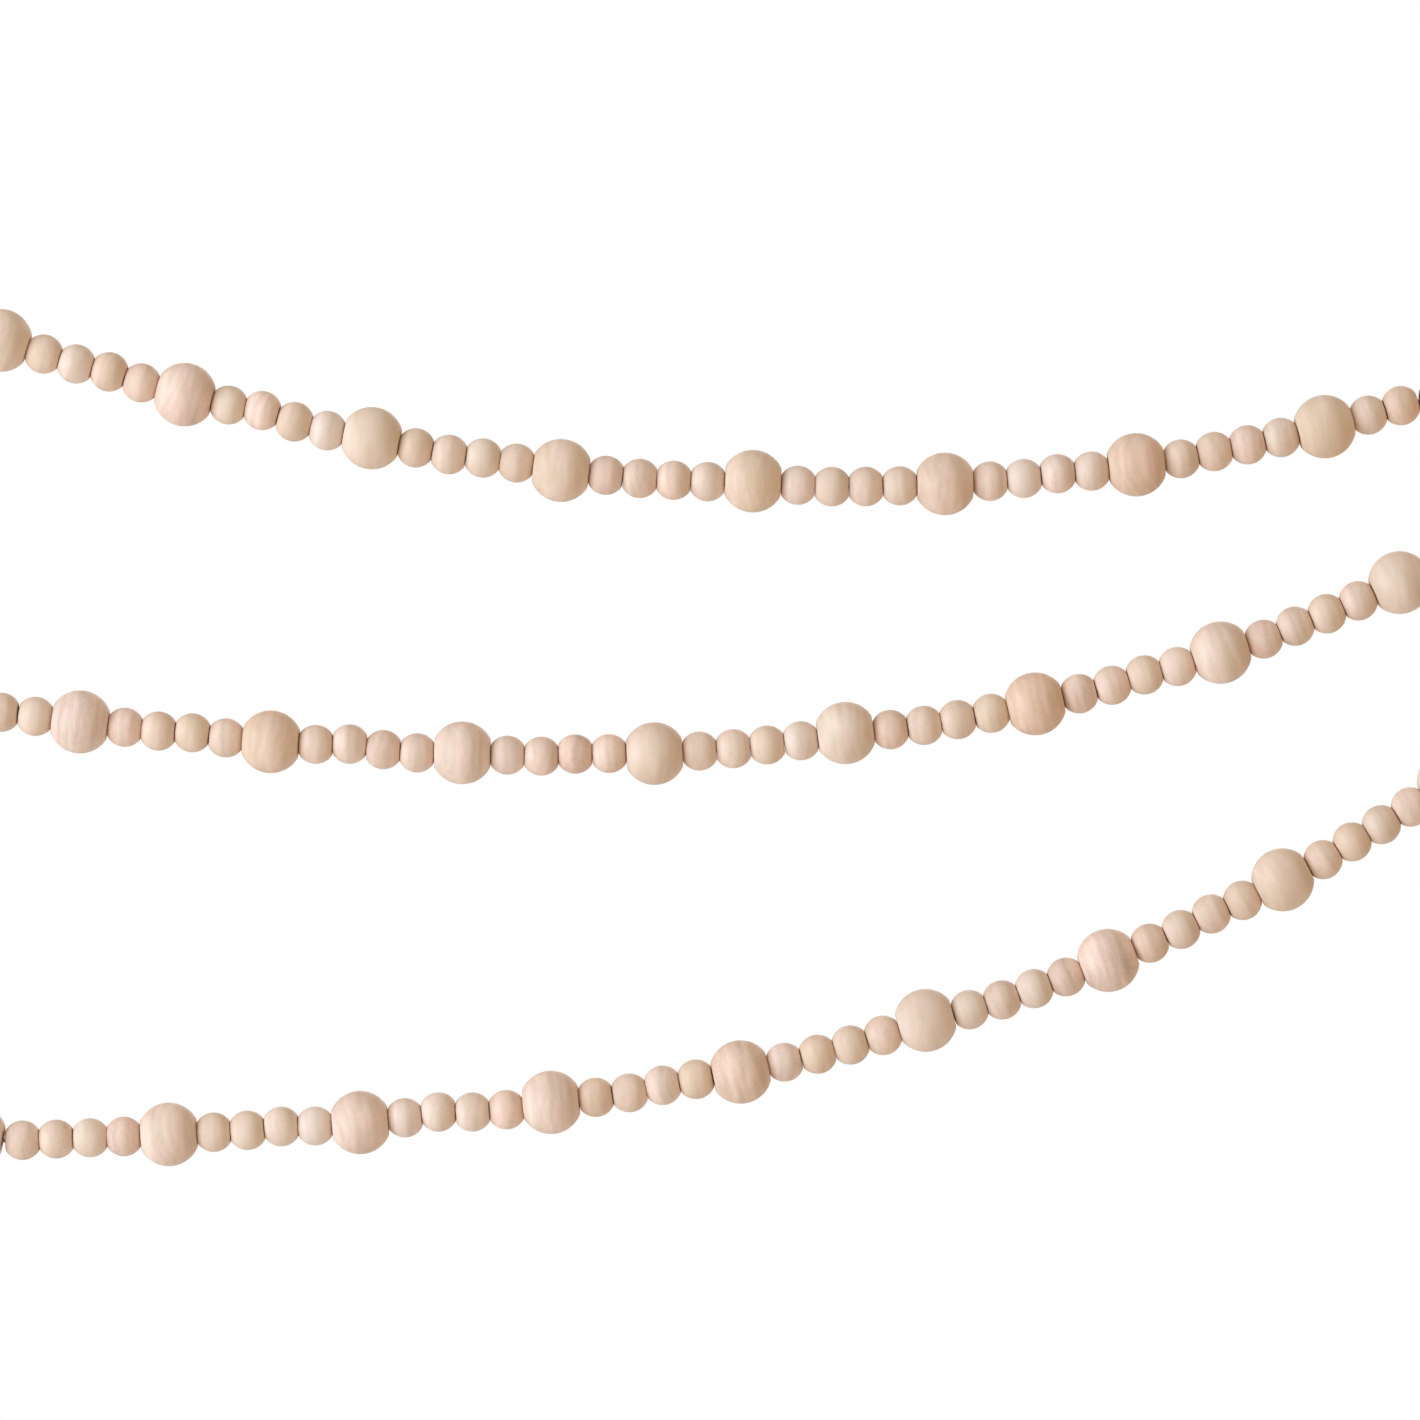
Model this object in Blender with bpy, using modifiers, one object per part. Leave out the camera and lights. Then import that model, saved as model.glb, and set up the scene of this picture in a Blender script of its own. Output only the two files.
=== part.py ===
"""Wood bead garland, hung in three swags: big and small turned beads on one string, in metres, +Z up.

The garland hangs in the XZ plane and is seen from -Y. It starts at the far end of the left loop, which is
the origin, runs right, turns down round the right peg, runs back left, turns down round the two left pegs
and runs right again to the right loop. The pegs themselves are no part of it.
"""

import math
from collections import namedtuple

import bmesh
import bpy
import numpy as np
from mathutils import Matrix, Vector
from mathutils.geometry import interpolate_bezier

MM = 0.001

# Beads: balls turned with a flat at each end and drilled through, one big one and then four small ones
BIG_DIAMETER = 16.0 * MM
BIG_LENGTH = 14.2 * MM
SMALL_DIAMETER = 10.0 * MM
SMALL_LENGTH = 8.6 * MM
SMALL_IN_RUN = 4
REPEATS = 27
BORE_DIAMETER = 2.6 * MM
CLEARANCE = 0.3 * MM
SMALL_FLAT_RADIUS = math.sqrt(SMALL_DIAMETER**2 - SMALL_LENGTH**2) / 2

# String: knotted at both ends into a hanging loop
STRING_DIAMETER = 1.2 * MM
KNOT_DIAMETER = 4.0 * MM
KNOT_LENGTH = 4.5 * MM
LOOP_WIDTH = 8.0 * MM
LOOP_ROOT = 0.65 * STRING_DIAMETER
END_LENGTH = 22.0 * MM
LOOP_POINTS = 20

# Where the garland is held: the first loop is at the origin
Place = namedtuple("Place", "x z")
LEFT_LOOP = Place(0.0, 0.0)
RIGHT_PEG = Place(393.1 * MM, -43.8 * MM)
UPPER_LEFT_PEG = Place(23.6 * MM, -123.3 * MM)
LOWER_LEFT_PEG = Place(23.6 * MM, -192.8 * MM)
RIGHT_LOOP = Place(419.3 * MM, -105.1 * MM)
TURN_RADIUS = 20.0 * MM

# Heading of the string in degrees, anticlockwise from +X, where each swag starts and where it ends
Headings = namedtuple("Headings", "start end")
TOP_SWAG = Headings(-19.5, 17.2)
MIDDLE_SWAG = Headings(-153.1, -187.7)
STRAIGHT_DOWN = -90.0
BOTTOM_SWAG = Headings(1.9, 36.2)

# Fineness of the solids
SWAG_SAMPLES = 120
TURN_SAMPLES = 40
WALK_STEPS = 6
SAME_PLACE = 0.001 * MM
BIG_SIDES = 10
BIG_BANDS = 6
SMALL_BANDS = 4
EIGHT_SIDED = 2
SIX_SIDED = 1
KNOT_SIDES = 10
KNOT_BANDS = 6

# Colours, as read by eye
WOOD_COLOUR = (0.69, 0.52, 0.41, 1.0)
PALE_WOOD_COLOUR = (0.72, 0.56, 0.44, 1.0)
STRING_COLOUR = (0.70, 0.60, 0.46, 1.0)


def clear_scene():
    for existing in list(bpy.data.objects):
        bpy.data.objects.remove(existing)


def new_collection(name):
    collection = bpy.data.collections.new(name)
    bpy.context.scene.collection.children.link(collection)
    return collection


def material(name, colour, roughness):
    made = bpy.data.materials.new(name)
    made.use_nodes = True
    surface = made.node_tree.nodes["Principled BSDF"]
    surface.inputs["Base Color"].default_value = colour
    surface.inputs["Roughness"].default_value = roughness
    surface.inputs["Metallic"].default_value = 0.0
    return made


# The route of the string


def swag(start, end, headings):
    """Points of one swag, a cubic whose ends have the given headings."""
    third = (end.x - start.x) / 3
    handle = Vector((start.x + third, start.z + third * math.tan(math.radians(headings.start))))
    other_handle = Vector((end.x - third, end.z - third * math.tan(math.radians(headings.end))))
    points = interpolate_bezier(Vector(start), handle, other_handle, Vector(end), SWAG_SAMPLES)
    return [Place(*point) for point in points]


def beside_peg(peg, heading, side):
    """Where the string touches its turn at this heading: side is 1 with the peg on its left, -1 on its right."""
    angle = math.radians(heading)
    return Place(
        peg.x + side * TURN_RADIUS * math.sin(angle),
        peg.z - side * TURN_RADIUS * math.cos(angle),
    )


def turn(peg, heading, next_heading):
    """Points of the turn round a peg, from one heading to the next."""
    side = math.copysign(1, next_heading - heading)
    return [beside_peg(peg, h, side) for h in np.linspace(heading, next_heading, TURN_SAMPLES)]


class Route:
    """The way that the string takes, measured along its length."""

    def __init__(self, places):
        points = np.array(places)
        steps = np.diff(points, axis=0)
        moved = np.hypot(*steps.T) > SAME_PLACE
        steps = steps[moved]
        self.points = points[np.append(True, moved)]
        self.lengths = np.append(0, np.cumsum(np.hypot(*steps.T)))
        self.middles = (self.lengths[1:] + self.lengths[:-1]) / 2
        self.headings = np.unwrap(np.arctan2(steps[:, 1], steps[:, 0]))

    def at(self, length):
        x, z = (np.interp(length, self.lengths, column) for column in self.points.T)
        return Vector((x, 0, z))

    def bend(self, length, next_length):
        """Angle between the headings at two lengths."""
        start, end = np.interp((length, next_length), self.middles, self.headings)
        return abs(end - start)

    def walk(self, length, distance):
        """The length whose place lies this far, in a straight line, from the place at the given one."""
        start = self.at(length)
        reached = length + distance
        for _ in range(WALK_STEPS):
            reached += distance - (self.at(reached) - start).length
        return reached


def garland_route():
    right_of_top = beside_peg(RIGHT_PEG, TOP_SWAG.end, -1)
    right_of_middle = beside_peg(RIGHT_PEG, MIDDLE_SWAG.start, -1)
    left_of_middle = beside_peg(UPPER_LEFT_PEG, MIDDLE_SWAG.end, 1)
    left_of_bottom = beside_peg(LOWER_LEFT_PEG, BOTTOM_SWAG.start, 1)
    return Route(
        swag(LEFT_LOOP, right_of_top, TOP_SWAG)
        + turn(RIGHT_PEG, TOP_SWAG.end, MIDDLE_SWAG.start)
        + swag(right_of_middle, left_of_middle, MIDDLE_SWAG)
        + turn(UPPER_LEFT_PEG, MIDDLE_SWAG.end, STRAIGHT_DOWN)
        + turn(LOWER_LEFT_PEG, STRAIGHT_DOWN, BOTTOM_SWAG.start)
        + swag(left_of_bottom, RIGHT_LOOP, BOTTOM_SWAG)
    )


def string_joints(route):
    """Places between the beads, from the first bead's outer flat to the last one's.

    The string is straight inside each bead. Where it bends, the flats open like a hinge on their inner
    rims, so a link is that much longer than its bead.
    """
    bead_lengths = [BIG_LENGTH] + ([SMALL_LENGTH] * SMALL_IN_RUN + [BIG_LENGTH]) * REPEATS
    length = END_LENGTH
    joints = [route.at(length)]
    for bead_length in bead_lengths:
        bend = route.bend(length, length + bead_length)
        opening = 2 * SMALL_FLAT_RADIUS * math.tan(bend / 2)
        length = route.walk(length, bead_length + opening)
        joints.append(route.at(length))
    return joints


# Shapes


def bead_rings(diameter, length, bands):
    """Place along the axis and radius of each ring of a ball that is cut flat at both ends."""
    rim = math.acos(length / diameter)
    angles = np.linspace(rim, math.pi - rim, bands + 1)
    return [(-diameter / 2 * math.cos(angle), diameter / 2 * math.sin(angle)) for angle in angles]


def turned_bead(name, diameter, length, bands):
    """Mesh of half a bead's section, closed along its bore and ready for a Screw round Z."""
    outside = [(radius, 0, -along) for along, radius in bead_rings(diameter, length, bands)]
    bore = BORE_DIAMETER / 2
    section = outside + [(bore, 0, -length / 2), (bore, 0, length / 2)]
    edges = [(i, (i + 1) % len(section)) for i in range(len(section))]
    mesh = bpy.data.meshes.new(name)
    mesh.from_pydata(section, edges, [])
    return mesh


def tube(name, points, diameter, fineness, radii=None):
    """Closed mesh object of a tube through the points; radii scale it from point to point."""
    curve = bpy.data.curves.new(name, "CURVE")
    curve.dimensions = "3D"
    curve.bevel_depth = diameter / 2
    curve.bevel_resolution = fineness
    curve.use_fill_caps = True
    spline = curve.splines.new("POLY")
    spline.points.add(len(points) - 1)
    for i, point in enumerate(points):
        spline.points[i].co = (*point, 1)
        spline.points[i].radius = radii[i] if radii else 1
    guide = bpy.data.objects.new(name + "_guide", curve)
    bpy.context.scene.collection.objects.link(guide)
    graph = bpy.context.evaluated_depsgraph_get()
    mesh = bpy.data.meshes.new_from_object(guide.evaluated_get(graph))
    bpy.data.objects.remove(guide)
    bpy.data.curves.remove(curve)
    mesh.name = name
    weld(mesh)
    return bpy.data.objects.new(name, mesh)


def weld(mesh):
    """Joins the caps to the sides and turns the faces outwards."""
    shape = bmesh.new()
    shape.from_mesh(mesh)
    bmesh.ops.remove_doubles(shape, verts=shape.verts, dist=SAME_PLACE)
    bmesh.ops.recalc_face_normals(shape, faces=shape.faces)
    shape.to_mesh(mesh)
    shape.free()


def add_part(obj, collection, surface):
    collection.objects.link(obj)
    obj.data.materials.clear()
    obj.data.materials.append(surface)
    obj.data.shade_smooth()


def add_helper(obj, collection):
    collection.objects.link(obj)
    obj.hide_render = True
    obj.display_type = "WIRE"


def add_boolean(obj, other, operation):
    modifier = obj.modifiers.new(other.name, "BOOLEAN")
    modifier.operation = operation
    modifier.solver = "EXACT"
    modifier.object = other


# The pieces


def big_beads(joints, collection, surface):
    """Every big bead, turned on the same mesh and set on its own link of the string."""
    mesh = turned_bead("big_bead", BIG_DIAMETER, BIG_LENGTH - CLEARANCE, BIG_BANDS)
    for number in range(REPEATS + 1):
        start, end = joints[number * (SMALL_IN_RUN + 1) :][:2]
        bead = bpy.data.objects.new(f"big_bead_{number + 1:02d}", mesh)
        add_part(bead, collection, surface)
        bead.location = (start + end) / 2
        bead.rotation_euler = (end - start).to_track_quat("Z", "X").to_euler()
        screw = bead.modifiers.new("Turning", "SCREW")
        screw.steps = BIG_SIDES
        screw.render_steps = BIG_SIDES
        screw.use_merge_vertices = True
        screw.merge_threshold = 0.01 * MM


def run_rings(joints):
    """Points and radii along a run of small beads, which meet at their flats."""
    inner_rings = bead_rings(SMALL_DIAMETER, SMALL_LENGTH, SMALL_BANDS)[1:-1]
    end_flat = (SMALL_LENGTH - CLEARANCE) / 2
    points = []
    radii = []
    for i, (start, end) in enumerate(zip(joints, joints[1:])):
        centre = (start + end) / 2
        axis = (end - start).normalized()
        points.append(start if i else centre - end_flat * axis)
        radii.append(SMALL_FLAT_RADIUS)
        for along, radius in inner_rings:
            points.append(centre + along * axis)
            radii.append(radius)
    points.append(centre + end_flat * axis)
    radii.append(SMALL_FLAT_RADIUS)
    return points, radii


def small_bead_runs(joints, bore, collection, surface):
    """Each run of small beads between two big ones, drilled along the string."""
    for number in range(REPEATS):
        first = number * (SMALL_IN_RUN + 1) + 1
        points, radii = run_rings(joints[first : first + SMALL_IN_RUN + 1])
        scaled_radii = [radius / (SMALL_DIAMETER / 2) for radius in radii]
        name = f"small_beads_{number + 1:02d}"
        run = tube(name, points, SMALL_DIAMETER, EIGHT_SIDED, scaled_radii)
        add_part(run, collection, surface)
        add_boolean(run, bore, "DIFFERENCE")


def loop_points(knot, far_end):
    """Points of a drop-shaped loop, whose two ends lie side by side in the knot."""
    reach = far_end - knot
    across = reach.cross(Vector((0, 1, 0))).normalized()
    widest = 0.77
    points = []
    for angle in np.linspace(0, 2 * math.pi, LOOP_POINTS):
        swell = math.sin(angle) * math.sin(angle / 2) / widest
        aside = (LOOP_WIDTH - LOOP_ROOT) / 2 * swell + LOOP_ROOT * math.cos(angle / 2)
        points.append(knot + (1 - math.cos(angle)) / 2 * reach + aside * across)
    return points


def knot_ball(name, centre, axis):
    shape = bmesh.new()
    bmesh.ops.create_uvsphere(
        shape, u_segments=KNOT_SIDES, v_segments=KNOT_BANDS, radius=KNOT_DIAMETER / 2
    )
    longer = Matrix.Scale(KNOT_LENGTH / KNOT_DIAMETER, 4, Vector((0, 0, 1)))
    turned = axis.to_track_quat("Z", "Y").to_matrix().to_4x4()
    shape.transform(Matrix.Translation(centre) @ turned @ longer)
    mesh = bpy.data.meshes.new(name)
    shape.to_mesh(mesh)
    shape.free()
    return bpy.data.objects.new(name, mesh)


def string(joints, collection, helpers, surface):
    """The string through all the beads, with a knot and a loop at each end, in one piece."""
    to_knot = KNOT_LENGTH / 2 + CLEARANCE / 2
    holds = []
    for side, flat, next_joint, far in (
        ("left", joints[0], joints[1], LEFT_LOOP),
        ("right", joints[-1], joints[-2], RIGHT_LOOP),
    ):
        outwards = (flat - next_joint).normalized()
        holds.append((side, flat + to_knot * outwards, outwards, Vector((far.x, 0, far.z))))
    run = [holds[0][1], *joints, holds[1][1]]
    cord = tube("string", run, STRING_DIAMETER, EIGHT_SIDED)
    add_part(cord, collection, surface)
    for side, knot, outwards, far_end in holds:
        ball = knot_ball(f"{side}_knot", knot, outwards)
        loop = tube(f"{side}_loop", loop_points(knot, far_end), STRING_DIAMETER, EIGHT_SIDED)
        for joined in (ball, loop):
            add_helper(joined, helpers)
            add_boolean(cord, joined, "UNION")


def main():
    clear_scene()
    garland = new_collection("Wood bead garland")
    helpers = new_collection("Cutters")
    big_wood = material("big_bead_wood", WOOD_COLOUR, 0.6)
    small_wood = material("small_bead_wood", PALE_WOOD_COLOUR, 0.6)
    twine = material("string_twine", STRING_COLOUR, 0.9)

    joints = string_joints(garland_route())
    past_start = joints[0] + (joints[0] - joints[1])
    past_end = joints[-1] + (joints[-1] - joints[-2])
    bore = tube("bore", [past_start, *joints, past_end], BORE_DIAMETER, SIX_SIDED)
    add_helper(bore, helpers)

    big_beads(joints, garland, big_wood)
    small_bead_runs(joints, bore, garland, small_wood)
    string(joints, garland, helpers, twine)


main()
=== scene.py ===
"""Looks of the wood bead garland: turned beads in two sizes on one twisted string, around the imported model.

The file is laid out as an add-on and is run as a script. Lengths are in metres, the garland hangs in the XZ
plane and is seen from -Y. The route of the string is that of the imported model, from the left loop to the
right one.
"""

import math
from collections import namedtuple

import bmesh
import bpy
import numpy as np
from bpy.props import FloatProperty, FloatVectorProperty, PointerProperty
from mathutils import Matrix, Vector
from mathutils.geometry import interpolate_bezier


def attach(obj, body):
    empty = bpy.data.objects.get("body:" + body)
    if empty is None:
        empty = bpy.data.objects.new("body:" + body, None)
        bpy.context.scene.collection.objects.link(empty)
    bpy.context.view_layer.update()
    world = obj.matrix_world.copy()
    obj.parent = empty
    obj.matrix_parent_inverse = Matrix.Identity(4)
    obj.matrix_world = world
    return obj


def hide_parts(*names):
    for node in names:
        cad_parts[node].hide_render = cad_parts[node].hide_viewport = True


bl_info = {
    "name": "Wood bead garland",
    "version": (1, 0, 0),
    "blender": (4, 5, 0),
    "location": "3D View > Sidebar > Garland",
    "description": "Turned wood beads in two sizes on one twisted string, hung in three swags",
    "category": "Object",
}

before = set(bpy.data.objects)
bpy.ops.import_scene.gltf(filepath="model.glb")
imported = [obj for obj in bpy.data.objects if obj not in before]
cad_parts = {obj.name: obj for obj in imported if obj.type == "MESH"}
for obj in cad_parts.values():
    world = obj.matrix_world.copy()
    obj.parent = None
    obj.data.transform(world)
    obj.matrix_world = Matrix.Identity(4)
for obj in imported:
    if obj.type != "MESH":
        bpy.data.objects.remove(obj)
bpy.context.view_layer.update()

MM = 0.001
BODY = "root"

# Beads in order along the string: one big one and then four small ones
SMALL_IN_RUN = 4
REPEATS = 27
BIG_DIAMETER = 16.0 * MM
BIG_LENGTH = 14.2 * MM
SMALL_DIAMETER = 10.0 * MM
SMALL_LENGTH = 8.6 * MM

# Where the garland is held
Place = namedtuple("Place", "x z")
LEFT_LOOP = Place(0.0, 0.0)
RIGHT_PEG = Place(393.1 * MM, -43.8 * MM)
UPPER_LEFT_PEG = Place(23.6 * MM, -123.3 * MM)
LOWER_LEFT_PEG = Place(23.6 * MM, -192.8 * MM)
RIGHT_LOOP = Place(419.3 * MM, -105.1 * MM)
TURN_RADIUS = 20.0 * MM
END_LENGTH = 22.0 * MM
KNOT_FROM_FLAT = 2.4 * MM

# Heading of the string in degrees, anticlockwise from +X, where each swag starts and where it ends
Headings = namedtuple("Headings", "start end")
TOP_SWAG = Headings(-19.5, 17.2)
MIDDLE_SWAG = Headings(-153.1, -187.7)
STRAIGHT_DOWN = -90.0
BOTTOM_SWAG = Headings(1.9, 36.2)

# Fineness of the route
SWAG_SAMPLES = 120
TURN_SAMPLES = 40
WALK_STEPS = 6
SAME_PLACE = 0.001 * MM

# Fineness of the pieces
Fineness = namedtuple("Fineness", "sides bands")
BIG_FINENESS = Fineness(60, 30)
SMALL_FINENESS = Fineness(36, 16)
RIM_SEGMENTS = 3
RIM_ANGLE = math.radians(20.0)
STRING_STEP = 0.55 * MM

# The section of the string: its plies, the points round each, and the valleys' share of the radius
PLIES = 3
PLY_POINTS = 4
PLY_VALLEY = 0.76

# The knots: their turns, whose pitch and radius are in thicknesses of the string, and how far the tails stand
# off, in lengths of the tail
KNOT_TURNS = 3
COIL_PITCH = 0.93
COIL_RADIUS = 1.03
TAIL_ASIDE = 0.25
TAIL_OUTWARDS = 0.1

# Points along a tail, a turn of a knot and a loop, and how often the corners there and in the bores are eased
TAIL_POINTS = 6
COIL_POINTS = 16
LOOP_POINTS = 63
END_EASING = 2
BORE_EASING = 8

# The most that sin(angle) * sin(angle / 2) comes to, where a loop is widest
WIDEST = 0.77

# Chance: every bead makes the same draws, in order along the string
BEAD_SEED = 11
TONE_LIMIT = 2.2

# How far the grain leans across the bore, and where in its log a bead is cut, at least and at most: X and Y
# from the pith, Z along the log
GRAIN_LEAN = 0.45
NEAR_IN_LOG = (12.0 * MM, -4.0 * MM, -1.0)
FAR_IN_LOG = (26.0 * MM, 4.0 * MM, 1.0)

# Beads that sit above the line of the string (or below it), by their count from the left of every swag. The
# places along the string from which the three swags are counted follow: the middle one runs back to the left
OUT_OF_LINE = {
    3: 0.45 * MM,
    6: 0.25 * MM,
    7: 0.9 * MM,
    9: -0.4 * MM,
    11: -0.3 * MM,
    12: -0.5 * MM,
    15: -0.4 * MM,
    16: -0.3 * MM,
    17: -0.25 * MM,
    19: 0.25 * MM,
    20: 0.9 * MM,
    21: 0.25 * MM,
    28: 0.35 * MM,
    31: -0.3 * MM,
}
SWAG_COUNTS = ((0, 1), (80, -1), (100, 1))

# The picture: its middle and width where the garland hangs, and the lens
VIEW_MIDDLE = Place(207.7 * MM, -103.2 * MM)
VIEW_WIDTH = 360.7 * MM
LENS = 180.0
SENSOR = 36.0
NEAREST_SEEN = 0.05
FARTHEST_SEEN = 50.0

# The lights: where each stands, in degrees round from the front and up, and its colour
Softbox = namedtuple("Softbox", "name around up colour")
WINDOW_LIGHT = Softbox("window_light", -56.0, 6.0, (0.597, 0.77, 1.0))
SKY_LIGHT = Softbox("sky_light", 0.0, 75.0, (0.35, 0.65, 1.0))
BACK_LIGHT = Softbox("back_light", 165.0, 12.0, (0.7, 0.82, 1.0))
SOFTBOX_DISTANCE = 1.9
SOFTBOX_WIDTH = 1.3
SOFTBOX_HEIGHT = 1.7
ROOM_COLOUR = (1.0, 0.76, 0.5, 1.0)
WHITE = (1.0, 1.0, 1.0, 1.0)

# The floor
FLOOR_RADIUS = 1.0
FLOOR_SIDES = 96
FLOOR_COLOUR = (1.0, 0.99, 0.98)
FLOOR_LIGHTNESS = 0.94
FLOOR_CLOUDINESS = 0.02
FLOOR_ROUGHNESS = 0.8


# The settings


class BeadSettings(bpy.types.PropertyGroup):
    """Sizes of the beads and how evenly they are turned and set."""

    big_diameter: FloatProperty(
        name="Big bead",
        description="Diameter of a big bead",
        default=BIG_DIAMETER,
        min=4.0 * MM,
        unit="LENGTH",
    )
    small_diameter: FloatProperty(
        name="Small bead",
        description="Diameter of a small bead",
        default=SMALL_DIAMETER,
        min=3.0 * MM,
        unit="LENGTH",
    )
    bore: FloatProperty(
        name="Bore",
        description="Diameter of the hole for the string",
        default=2.6 * MM,
        min=1.0 * MM,
        unit="LENGTH",
    )
    rounding: FloatProperty(
        name="Rim rounding",
        description="How far the rims of the flats are rounded",
        default=0.34 * MM,
        min=0.05 * MM,
        unit="LENGTH",
    )
    gap: FloatProperty(
        name="Gap",
        description="Space left between two small beads on the string",
        default=0.02 * MM,
        min=0.0,
        unit="LENGTH",
    )
    unevenness: FloatProperty(
        name="Unevenness",
        description="Share by which the beads differ in thickness",
        default=0.012,
        min=0.0,
        subtype="FACTOR",
    )
    tilt: FloatProperty(
        name="Tilt",
        description="How far the beads lean on the string",
        default=math.radians(1.0),
        min=0.0,
        subtype="ANGLE",
    )


class WoodSettings(bpy.types.PropertyGroup):
    """Colours and grain of the bare, sanded wood."""

    pale: FloatVectorProperty(
        name="Pale wood",
        description="Colour of the palest, rosy wood",
        default=(0.825, 0.635, 0.49),
        size=3,
        subtype="COLOR",
        min=0.0,
        max=1.0,
    )
    tan: FloatVectorProperty(
        name="Tan wood",
        description="Colour of the yellower wood",
        default=(0.785, 0.575, 0.385),
        size=3,
        subtype="COLOR",
        min=0.0,
        max=1.0,
    )
    rose: FloatVectorProperty(
        name="Rosy mottle",
        description="Colour of the soft rosy patches in the wood",
        default=(0.845, 0.565, 0.445),
        size=3,
        subtype="COLOR",
        min=0.0,
        max=1.0,
    )
    # The flats and the bore: darker partly as end grain and partly as painted shade in the crease where the
    # beads touch
    end_grain_and_shade: FloatVectorProperty(
        name="Flats and bore",
        description="Colour of the end faces and of the hole, darker as end grain and by painted shade where the beads touch",
        default=(0.40, 0.245, 0.145),
        size=3,
        subtype="COLOR",
        min=0.0,
        max=1.0,
    )
    # How far the flats take that colour, end grain and painted crease shade together: big beads, then small
    # ones
    big_end_grain_and_shade: FloatProperty(
        name="End grain and painted shade of big beads",
        description="How dark the flats of the big beads are",
        default=0.42,
        min=0.0,
        max=1.0,
        subtype="FACTOR",
    )
    small_end_grain_and_shade: FloatProperty(
        name="End grain and painted shade of small beads",
        description="How dark the flats of the small beads are",
        default=1.0,
        min=0.0,
        max=1.0,
        subtype="FACTOR",
    )
    ring_pitch: FloatProperty(
        name="Growth rings",
        description="Distance from one growth ring to the next",
        default=2.3 * MM,
        min=0.5 * MM,
        unit="LENGTH",
    )
    roughness: FloatProperty(
        name="Roughness",
        description="Roughness of the sanded surface",
        default=0.55,
        min=0.0,
        max=1.0,
        subtype="FACTOR",
    )


class StringSettings(bpy.types.PropertyGroup):
    """The twisted string and its knots."""

    diameter: FloatProperty(
        name="String",
        description="Diameter of the string",
        default=1.2 * MM,
        min=0.3 * MM,
        unit="LENGTH",
    )
    lay: FloatProperty(
        name="Lay",
        description="Length of one whole twist of the plies",
        default=4.2 * MM,
        min=1.0 * MM,
        unit="LENGTH",
    )
    loop_width: FloatProperty(
        name="Loop",
        description="Width of the hanging loops",
        default=8.0 * MM,
        min=3.0 * MM,
        unit="LENGTH",
    )
    tail: FloatProperty(
        name="Tail",
        description="Length of the end that stands out of a knot",
        default=2.6 * MM,
        min=0.5 * MM,
        unit="LENGTH",
    )
    colour: FloatVectorProperty(
        name="Cotton",
        description="Colour of the undyed cotton",
        default=(0.70, 0.60, 0.46),
        size=3,
        subtype="COLOR",
        min=0.0,
        max=1.0,
    )


class StageSettings(bpy.types.PropertyGroup):
    """Light and floor."""

    key: FloatProperty(
        name="Window light",
        description="Power of the broad light from the left",
        default=41.5,
        min=0.0,
        unit="POWER",
    )
    sky: FloatProperty(
        name="Sky light",
        description="Power of the faint cool light from above",
        default=11.0,
        min=0.0,
        unit="POWER",
    )
    back: FloatProperty(
        name="Back light",
        description="Power of the light on the garland's back",
        default=14.0,
        min=0.0,
        unit="POWER",
    )
    room: FloatProperty(
        name="Room light",
        description="Strength of the light from all round",
        default=0.52,
        min=0.0,
    )
    floor_drop: FloatProperty(
        name="Floor",
        description="Height of the left loop above the floor",
        default=0.45,
        min=0.25,
        unit="LENGTH",
    )


# The route of the string


def swag(start, end, headings):
    """Points of one swag, a cubic whose ends have the given headings."""
    third = (end.x - start.x) / 3
    handle = Vector((start.x + third, start.z + third * math.tan(math.radians(headings.start))))
    other_handle = Vector((end.x - third, end.z - third * math.tan(math.radians(headings.end))))
    points = interpolate_bezier(Vector(start), handle, other_handle, Vector(end), SWAG_SAMPLES)
    return [Place(*point) for point in points]


def beside_peg(peg, heading, side):
    """Place of the string at this heading in a turn: side is 1 with the peg on its left, -1 on its right."""
    angle = math.radians(heading)
    return Place(
        peg.x + side * TURN_RADIUS * math.sin(angle),
        peg.z - side * TURN_RADIUS * math.cos(angle),
    )


def turn(peg, heading, next_heading):
    """Points of the turn round a peg, from one heading to the next."""
    side = math.copysign(1, next_heading - heading)
    headings = np.linspace(heading, next_heading, TURN_SAMPLES)
    return [beside_peg(peg, passed, side) for passed in headings]


class Route:
    """The way that the string takes, measured along its length."""

    def __init__(self, places):
        points = np.array(places)
        steps = np.diff(points, axis=0)
        moved = np.hypot(*steps.T) > SAME_PLACE
        steps = steps[moved]
        self.points = points[np.append(True, moved)]
        self.lengths = np.append(0, np.cumsum(np.hypot(*steps.T)))
        self.middles = (self.lengths[1:] + self.lengths[:-1]) / 2
        self.headings = np.unwrap(np.arctan2(steps[:, 1], steps[:, 0]))

    def at(self, length):
        """The place at this length."""
        x, z = (np.interp(length, self.lengths, column) for column in self.points.T)
        return Vector((x, 0, z))

    def bend(self, length, next_length):
        """Angle between the headings at two lengths."""
        start, end = np.interp((length, next_length), self.middles, self.headings)
        return abs(end - start)

    def walk(self, length, distance):
        """The length whose place lies this far, in a straight line, from the place at the given one."""
        start = self.at(length)
        reached = length + distance
        for _ in range(WALK_STEPS):
            reached += distance - (self.at(reached) - start).length
        return reached


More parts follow.
